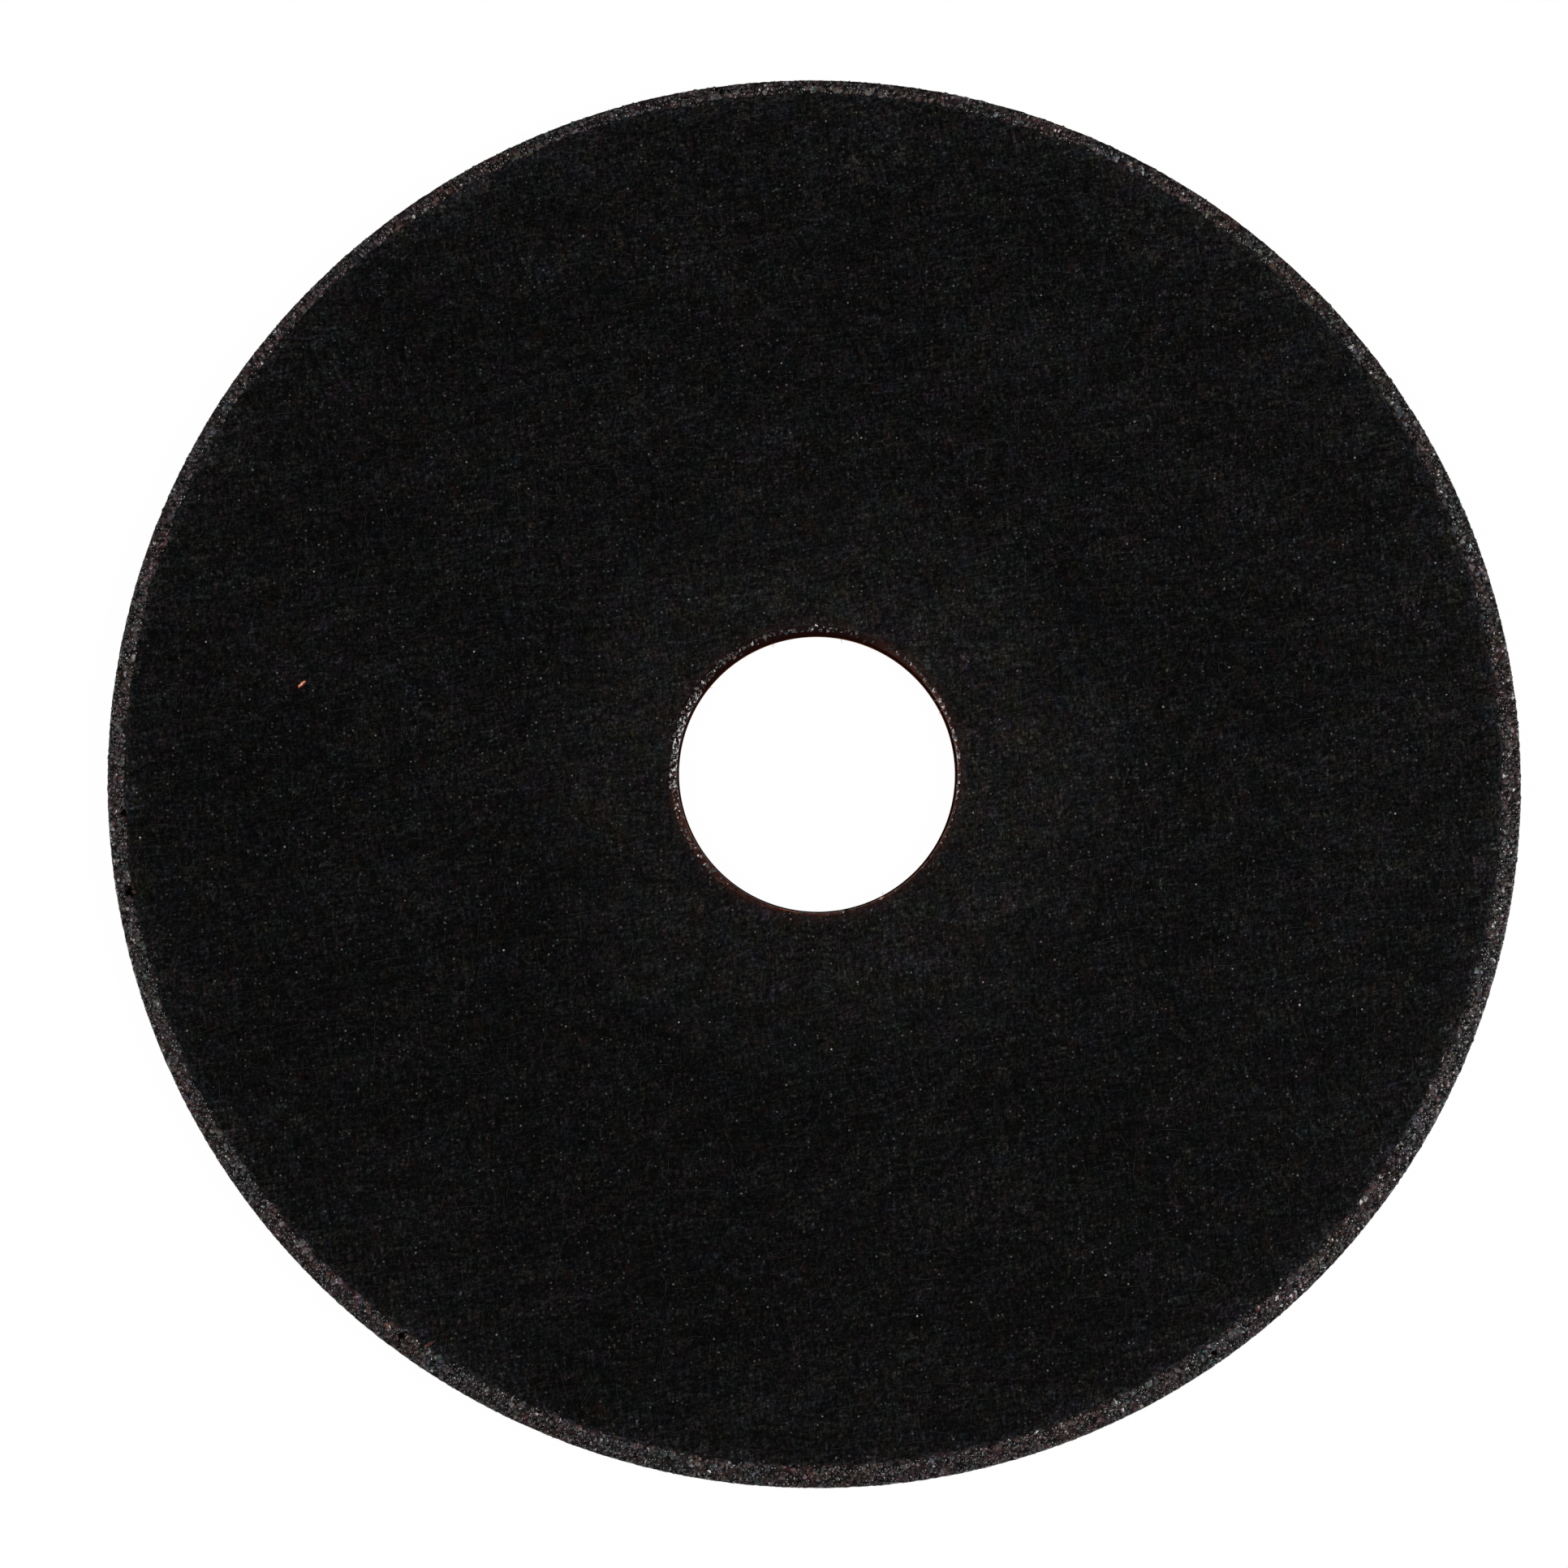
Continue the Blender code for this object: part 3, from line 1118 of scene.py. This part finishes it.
def facing_material(colours):
    """Matt black matted sheet: fine crossed fibres, slow streaks, pale hub, painted light across
    it, a painted sheen on parts of the cut edges, and a few pale specks that are painted glints.
    """
    facing = bpy.context.scene.wheel_facing
    look = Surface("matted_sheet")
    wander = look.vector("SUBTRACT", look.noise(3.0 * MM)["Color"], NOISE_MIDDLE)
    bent = look.vector("ADD", look.where, look.scaled(wander, 0.7 * MM))
    parts = []
    # Turn from the lay in degrees, length and width in millimetres, and strength of the streaks
    for place, turn, along, across, strength in (
        (bent, 0, 0.34, 0.20, 5.0),
        (bent, 78, 0.34, 0.19, 5.4),
        (bent, 0, 1.8, 0.38, 2.8),
        (bent, 92, 1.6, 0.38, 2.8),
        (bent, 0, 7.0, 2.4, 1.4),
        (look.where, 0, 16.0, 9.0, 0.9),
    ):
        way = facing.lay + math.radians(turn)
        streak = look.streaks(place, way, along * MM, across * MM)
        parts.append((streak, strength * facing.mottling))
    mat = look.total(*parts)
    from_hub = look.vector("LENGTH", look.vector("SUBTRACT", bent, tuple(facing.hub_patch)))
    radius = facing.hub_patch_radius
    clamped = look.ramp(from_hub, radius + 0.6 * MM, radius - 0.6 * MM)
    inner = look.ramp(from_hub, radius - 1.5 * MM, radius - 7.5 * MM)
    glow = look.math("EXPONENT", look.times(mat, look.ramp(clamped, 0.0, 1.0, 1.02, 0.90)))
    hub = look.total((clamped, 0.37), (inner, 0.34), (1.0, 1.0))
    outer = look.ramp(look.away, 44.0 * MM, 54.5 * MM, 1.0, 1.15)
    # Painted light: the sheet is painted lighter towards its upper right and darker towards its
    # lower left, as the lamps light it
    lit_side = look.vector("DOT_PRODUCT", look.where, (0.5, 0.87, 0.0))
    uneven = look.ramp(lit_side, -55.0 * MM, 55.0 * MM, 0.87, 1.13)
    edge = look.weight("edge")
    pale = look.times(glow, look.times(hub, outer, uneven), look.ramp(edge, 0.0, 1.0, 1.05, 1.75))
    slow, quick = look.dyed(2.0 * MM, (1.0, 0.62, 1.1)), look.dyed(0.35 * MM, (1.1, 0.4, 1.2))
    colour = look.blend(inner, colours.facing, colours.clamped)
    colour = look.vector("MULTIPLY", colour, look.vector("MULTIPLY", slow, quick))
    colour = look.scaled(colour, pale)
    stain = look.ramp(look.cloud(1.4 * MM), 0.60, 0.75, 0.0, 0.035)
    colour = look.blend(stain, colour, colours.rust)
    print_through = look.cloud(0.42 * MM)
    brown = look.times(look.weight("hole_edge"), look.ramp(print_through, 0.38, 0.68, 0.15, 1.0))
    colour = look.blend(brown, colour, PRINTED_RESIN)
    # Parts of the cut edges are glazed and glossier, and painted blue-grey as a painted sheen
    patchy = look.ramp(look.cloud(0.8 * MM, 4.0, 0.7), 0.50, 0.62, 0.0, 0.7)
    glazed = look.times(look.ramp(edge, 0.80, 0.98), patchy)
    colour = look.blend(glazed, colour, colours.glazed_edge_and_painted_sheen)
    # Painted glints: tiny pale specks, a few of them bright
    specks = look.cells(0.36 * MM)
    pick = look.channels(specks["Color"])
    chosen = look.math("GREATER_THAN", pick[0], 0.84)
    near = look.ramp(specks["Distance"], 0.30, 0.12)
    rarity = look.math("POWER", look.math("ADD", pick[1], 0.002), -0.4)
    colour = look.blend(look.times(chosen, near, rarity, 0.08), colour, GLINT)
    soft = look.bump(print_through, 0.05 * MM, 0.4)
    roughness = look.ramp(glazed, 0.0, 1.0, 0.7, 0.35)
    return look.finish(colour, roughness, 0.03, look.bump(mat, 0.05 * MM, 0.6, soft))


def fibre_material(colours):
    """Single fibres, from black to grey with a few that resin has browned."""
    look = Surface("sheet_fibre")
    tone = look.weight("tone")
    along = look.ramp(look.cloud(0.4 * MM), 0.3, 0.7, 0.3, 1.0)
    pale = look.times(look.ramp(tone, 0.3, 1.0), along)
    colour = look.blend(pale, colours.facing, colours.fibre)
    colour = look.blend(look.ramp(tone, 0.992, 0.997, 0.0, 0.12), colour, colours.rust)
    return look.finish(colour, 0.5, 0.08)


def floor_material():
    """White floor that shows white to the camera and still takes the wheel's shadow."""
    look = Surface("studio_floor")
    look.finish(rgba((0.86, 0.86, 0.86)), 0.9, 0.0)
    seen = look.add("ShaderNodeLightPath").outputs
    mirrored = look.math("MAXIMUM", seen["Is Glossy Ray"], seen["Is Transmission Ray"])
    straight = look.math("MAXIMUM", seen["Is Camera Ray"], mirrored)
    glow = look.first("ShaderNodeEmission", Color=rgba(WHITE), Strength=1.004)
    inputs = {0: look.times(straight, 0.975), 1: look.shader.outputs[0], 2: glow}
    mixed = look.add("ShaderNodeMixShader", inputs=inputs).outputs[0]
    look.feed(look.tree.nodes["Material Output"].inputs["Surface"], mixed)
    return look.material


def material_named(name, make):
    """The named material, made when a piece first asks for it."""
    return bpy.data.materials.get(name) or make(bpy.context.scene.wheel_colours)


# Operators, one for each piece or group of like pieces


class WHEEL_OT_resin_body(bpy.types.Operator):
    """Build the resin body that holds the grit, with its bare rim and bore"""

    bl_idname = "wheel.resin_body"
    bl_label = "Resin body"

    def execute(self, context):
        grit = context.scene.wheel_grit
        material = material_named("grit_resin", resin_material)
        body = closed_band("resin_body", resin_rings(grit))
        sink_pits(body)
        weigh_zones(body)
        lumps = {"Lump_Size": 0.3 * MM, "Depth": 0.16 * MM}
        grow(body, relief_tree(), material, Weight="bare", **lumps)
        rim_resin = material_named("rim_resin", rim_resin_material)
        coat(body, rim_resin, rim_faces(body.data))
        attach(body, "root")
        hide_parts("abrasive_disc")
        return {"FINISHED"}


class WHEEL_OT_grit(bpy.types.Operator):
    """Set the grains of grit in the resin wherever the facings leave it bare"""

    bl_idname = "wheel.grit"
    bl_label = "Grit"

    def execute(self, context):
        grit = context.scene.wheel_grit
        body = bpy.data.objects["resin_body"]
        material = material_named("grit_grain", grain_material)
        tree = grit_tree()
        for number, zone in enumerate(ZONES):
            piece = linked(f"{zone}_grit", body.data.copy())
            grow(
                piece,
                tree,
                material,
                Zone=zone,
                Grain_Size=grit.grain_size,
                Spacing=grit.spacing,
                Depth=EDGE_DEPTH if zone == "wheel_edge" else FACE_DEPTH,
                Sink=grit.sink,
                Angularity=grit.angularity,
                Seed=grit.seed + 10 * number,
            )
            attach(piece, "root")
        return {"FINISHED"}


class WHEEL_OT_bore_glaze(bpy.types.Operator):
    """Lay the lumpy glossy resin that ran round the bore's upper corner"""

    bl_idname = "wheel.bore_glaze"
    bl_label = "Bore glaze"

    def execute(self, context):
        grit = context.scene.wheel_grit
        material = material_named("bore_glaze", glaze_material)
        slope = mouth_slope(grit, 12, 0.02 * MM)
        face = [(r, z, min(1.0, 0.3 + 0.2 * step)) for step, (r, z) in enumerate(slope)]
        ledge = span(slope[-1][0], slope[-1][0] + 0.45 * MM, 0.08 * MM)[1:]
        face += [(r, slope[-1][1], 0.8) for r in ledge]
        back = [(r + 0.06 * MM, z - 0.1 * MM, 0.0) for r, z, _ in face[::-3]]
        path = (face + back)[::-1]
        rings = [circle(r, z, ON_AXIS, GLAZE_STEPS) for r, z, _ in path]
        ring = closed_band("bore_glaze", rings)
        store(ring.data, "loose", np.repeat([weight for _, _, weight in path], GLAZE_STEPS))
        lumps = {"Lump_Size": 0.45 * MM, "Depth": 0.28 * MM, "Pattern": 9.0}
        grow(ring, relief_tree(), material, Weight="loose", **lumps)
        matt = material_named("grit_resin", resin_material)
        coat(ring, matt, bare_faces(ring.data))
        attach(ring, "root")
        return {"FINISHED"}


class WHEEL_OT_facings(bpy.types.Operator):
    """Lay the thin black sheet on each side, with its cut edges"""

    bl_idname = "wheel.facings"
    bl_label = "Facings"

    def execute(self, context):
        settings = context.scene.wheel_facing
        material = material_named("matted_sheet", facing_material)
        room = settings.fibre_width * 0.85
        tree = relief_tree()
        for upper in (True, False):
            side = "upper" if upper else "lower"
            face = THICKNESS - room if upper else room
            back = THICKNESS - FACING_THICKNESS if upper else FACING_THICKNESS
            sheet = build_sheet(f"{side}_sheet", upper, face, back)
            lumps = {"Lump_Size": 0.42 * MM, "Depth": settings.print_depth, "Way": (0.0, 0.0, 1.0)}
            grow(sheet, tree, material, Weight="print", **lumps)
            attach(sheet, "root")
            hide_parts(f"{side}_facing")
        return {"FINISHED"}


def build_sheet(name, upper, face, back):
    """A facing with worn cut edges: rings go round its section from the back over the face."""
    outer, hole = facing_edges(upper)
    centre = UPPER_CENTRE if upper else LOWER_CENTRE
    hole_centre = UPPER_HOLE_CENTRE if upper else LOWER_HOLE_CENTRE
    mid = (face + back) / 2
    slope = 0.05 * MM if upper else -0.05 * MM
    shoulder, brow = face - slope, face - slope * 0.3

    # Rows: a ring, how near it is to the outer edge and to the hole, and if fibres lie there
    rows = []
    for inset, height, near in (
        (0.1, back, 1),
        (0.0, mid, 1),
        (0.0, shoulder, 1),
        (0.07, brow, 0.95),
        (0.17, face, 0.85),
        (0.32, face, 0.76),
        (0.5, face, 0.62),
        (0.72, face, 0.48),
        (1.0, face, 0.36),
        (1.4, face, 0.24),
        (2.0, face, 0.12),
    ):
        rows.append((circle(outer - inset * MM, height, centre, SHEET_STEPS), near, 0, near < 0.7))
    middle = circle(outer[::4] - 2.0 * MM, face, centre, SHEET_HOLE_STEPS)
    inner = circle(hole + 1.0 * MM, face, hole_centre, SHEET_HOLE_STEPS)
    for share in np.linspace(0.06, 1.0, 15):
        rows.append(((1 - share) * middle + share * inner, 0, 0, 1))
    for inset, height, near in (
        (0.9, face, 0.05),
        (0.6, face, 0.16),
        (0.35, face, 0.42),
        (0.16, face, 0.8),
        (0.05, brow, 1),
        (0.0, shoulder, 1),
        (0.0, mid, 1),
        (0.1, back, 1),
    ):
        ring = circle(hole + inset * MM, height, hole_centre, SHEET_HOLE_STEPS)
        rows.append((ring, 0, near, 0))
    if not upper:
        rows.reverse()
    rings, *weights = zip(*rows)
    sheet = closed_band(name, rings)
    counts = [len(ring) for ring in rings]
    edge, hole_edge, open_side = (np.repeat(weight, counts) for weight in weights)
    points = vertices_of(sheet.data)
    browned = 0.8 + 0.3 * np.cos(np.arctan2(points[:, 1], points[:, 0]) + math.radians(25))
    store(sheet.data, "edge", edge)
    store(sheet.data, "hole_edge", np.clip(hole_edge * browned, 0, 1))
    store(sheet.data, "open_side", open_side)
    store(sheet.data, "print", np.clip(0.06 + edge + hole_edge, 0, 1))
    return sheet


class WHEEL_OT_fibres(bpy.types.Operator):
    """Lay short fibres on each facing"""

    bl_idname = "wheel.fibres"
    bl_label = "Fibres"

    def execute(self, context):
        settings = context.scene.wheel_facing
        material = material_named("sheet_fibre", fibre_material)
        tree = fibre_tree()
        for number, side in enumerate(("upper", "lower")):
            sheet = bpy.data.objects[f"{side}_sheet"]
            piece = linked(f"{side}_fibres", sheet.data.copy())
            grow(
                piece,
                tree,
                material,
                Length=settings.fibre_length,
                Width=settings.fibre_width,
                Spacing=settings.fibre_spacing,
                Lay=settings.lay,
                Lift=settings.fibre_width * 0.25,
                Seed=FIBRE_SEED + number,
            )
            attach(piece, "root")
        return {"FINISHED"}


class WHEEL_OT_flakes(bpy.types.Operator):
    """Add the stray flakes and hairs of resin at their places"""

    bl_idname = "wheel.flakes"
    bl_label = "Flakes and hairs"

    def execute(self, context):
        material = material_named("resin_flake", flake_material)
        mesh = bpy.data.meshes.new("resin_flakes")
        shape = bmesh.new()
        layer = shape.verts.layers.float.new("tone")
        rng = np.random.default_rng(FLAKE_SEED)
        for *sizes, turn, tone in FLAKES:
            x, y, height, length, width = (size * MM for size in sizes)
            stretch = Matrix.Diagonal((length, width, FLAKE_THICKNESS, 1.0))
            turned = Matrix.Rotation(math.radians(turn), 4, "Z")
            place = Matrix.Translation((x, y, height)) @ turned @ stretch
            made = bmesh.ops.create_icosphere(shape, subdivisions=2, radius=0.5)["verts"]
            for vertex in made:
                vertex.co = place @ (vertex.co * rng.uniform(0.78, 1.12))
                vertex.co.z = min(vertex.co.z, THICKNESS)
                vertex[layer] = tone
        for turn, height, length, lean in HAIRS:
            add_hair(shape, layer, math.radians(turn), height * MM, length * MM, lean)
        for first, last, radius, height, girth, tone in BEADS:
            turns = np.linspace(math.radians(first), math.radians(last), BEAD_STEPS)
            swell = np.sin(np.linspace(0.15, math.pi - 0.15, BEAD_STEPS))
            girths = girth * MM * swell * rng.uniform(0.7, 1.2, BEAD_STEPS)
            middles = [on_round(radius * MM, turn, height * MM) for turn in turns]
            add_thread(shape, layer, middles, girths, tone)
        shape.to_mesh(mesh)
        shape.free()
        mesh.materials.append(material)
        piece = linked("resin_flakes", mesh)
        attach(piece, "root")
        return {"FINISHED"}


def on_round(radius, turn, height):
    """A point at a distance and direction from the wheel's axis."""
    return Vector((radius * math.cos(turn), radius * math.sin(turn), height))


def add_hair(shape, layer, angle, height, length, lean):
    """A thin bent hair that grows from the bore's wall towards its middle."""
    wall = LIP_RADIUS + (MOUTH_RADIUS - LIP_RADIUS) * height / THICKNESS
    middles = []
    for share in np.linspace(0, 1, HAIR_STEPS):
        radius = wall + 0.03 * MM - length * share
        middles.append(on_round(radius, angle + lean * length * share**2 / wall, height))
    add_thread(shape, layer, middles, HAIR_GIRTH * np.linspace(1, 0.4, HAIR_STEPS), HAIR_TONE)


def add_thread(shape, layer, middles, girths, tone):
    """A closed tube of four sides through the given middles."""
    up = Vector((0, 0, 1))
    rings = []
    for number, (middle, girth) in enumerate(zip(middles, girths)):
        ahead = middles[min(number + 1, len(middles) - 1)] - middles[max(number - 1, 0)]
        side = ahead.cross(up).normalized()
        ways = (side, up, -side, -up)
        rings.append([shape.verts.new(middle + way * float(girth)) for way in ways])
    made = []
    for here, ahead in zip(rings, rings[1:]):
        for corner in range(4):
            following = (corner + 1) % 4
            side = (here[corner], here[following], ahead[following], ahead[corner])
            made.append(shape.faces.new(side))
    made += [shape.faces.new(rings[0][::-1]), shape.faces.new(rings[-1])]
    for ring in rings:
        for vertex in ring:
            vertex[layer] = tone
    bmesh.ops.recalc_face_normals(shape, faces=made)


class WHEEL_OT_studio(bpy.types.Operator):
    """Set the white floor, the softboxes and the camera"""

    bl_idname = "wheel.studio"
    bl_label = "Studio"

    def execute(self, context):
        studio = context.scene.wheel_studio
        build_floor()
        build_world(context)
        for name, place, size in SOFTBOXES:
            add_softbox(f"{name}_softbox", place, size, getattr(studio, name))
        build_camera(context, studio)
        context.scene.view_settings.view_transform = "Standard"
        return {"FINISHED"}


def build_floor():
    mesh = bpy.data.meshes.new("floor")
    signs = ((-1, -1), (1, -1), (1, 1), (-1, 1))
    corners = [(x * FLOOR_HALF, y * FLOOR_HALF, 0.0) for x, y in signs]
    mesh.from_pydata(corners, [], [(0, 1, 2, 3)])
    mesh.materials.append(floor_material())
    floor = linked("floor", mesh)


def build_world(context):
    """White to the camera and a dim even grey to everything else."""
    world = bpy.data.worlds.new("studio")
    world.use_nodes = True
    graph = Graph(world.node_tree)
    seen = graph.add("ShaderNodeLightPath").outputs
    straight = graph.math("MAXIMUM", seen["Is Camera Ray"], seen["Is Transmission Ray"])
    sky = world.node_tree.nodes["Background"]
    sky.inputs["Color"].default_value = rgba(WHITE)
    graph.feed(sky.inputs["Strength"], graph.ramp(straight, 0.0, 1.0, 0.06, 1.0))
    context.scene.world = world


def add_softbox(name, place, size, power):
    lamp = bpy.data.lights.new(name, "AREA")
    lamp.shape = "SQUARE"
    lamp.size = size
    lamp.energy = power
    box = linked(name, lamp)
    box.location = place
    box.rotation_euler = Vector(place).to_track_quat("Z", "Y").to_euler()
    box.visible_camera = False


def build_camera(context, studio):
    """The camera looks down on the wheel, tipped off its axis, with +Y up in the picture."""
    lens = bpy.data.cameras.new("camera")
    lens.lens = studio.lens
    lens.sensor_width = 36.0
    lens.clip_start = 0.01
    tipped = math.sin(studio.tilt)
    sideways, backwards = math.sin(studio.azimuth), -math.cos(studio.azimuth)
    back = Vector((sideways * tipped, backwards * tipped, math.cos(studio.tilt)))
    up = (Vector((0, 1, 0)) - back * back.y).normalized()
    turned = Matrix((up.cross(back), up, back)).transposed().to_4x4()
    camera = linked("camera", lens)
    camera.matrix_world = (
        Matrix.Translation(Vector((*studio.aim, THICKNESS)) + back * studio.distance) @ turned
    )
    context.scene.camera = camera


class WHEEL_PT_panel(bpy.types.Panel):
    """Lists the wheel's settings and the steps that build it"""

    bl_label = "Cut-off wheel"
    bl_idname = "WHEEL_PT_panel"
    bl_space_type = "VIEW_3D"
    bl_region_type = "UI"
    bl_category = "Wheel"

    def draw(self, context):
        scene = context.scene
        for title in ("grit", "facing", "colours", "studio"):
            group = getattr(scene, f"wheel_{title}")
            box = self.layout.box()
            box.label(text=title.capitalize())
            for name in group.__annotations__:
                box.prop(group, name)
        for step in STEPS:
            self.layout.operator(step.bl_idname)


GROUPS = (
    ("wheel_grit", GritSettings),
    ("wheel_facing", FacingSettings),
    ("wheel_colours", WheelColours),
    ("wheel_studio", StudioSettings),
)
STEPS = (
    WHEEL_OT_resin_body,
    WHEEL_OT_grit,
    WHEEL_OT_bore_glaze,
    WHEEL_OT_facings,
    WHEEL_OT_fibres,
    WHEEL_OT_flakes,
    WHEEL_OT_studio,
)


def register():
    for name, group in GROUPS:
        bpy.utils.register_class(group)
        setattr(bpy.types.Scene, name, bpy.props.PointerProperty(type=group))
    for step in STEPS:
        bpy.utils.register_class(step)
    bpy.utils.register_class(WHEEL_PT_panel)


def unregister():
    bpy.utils.unregister_class(WHEEL_PT_panel)
    for step in reversed(STEPS):
        bpy.utils.unregister_class(step)
    for name, group in reversed(GROUPS):
        delattr(bpy.types.Scene, name)
        bpy.utils.unregister_class(group)


def main():
    register()
    bpy.ops.wheel.resin_body()
    bpy.ops.wheel.grit()
    bpy.ops.wheel.bore_glaze()
    bpy.ops.wheel.facings()
    bpy.ops.wheel.fibres()
    bpy.ops.wheel.flakes()
    bpy.ops.wheel.studio()


if __name__ == "__main__":
    main()
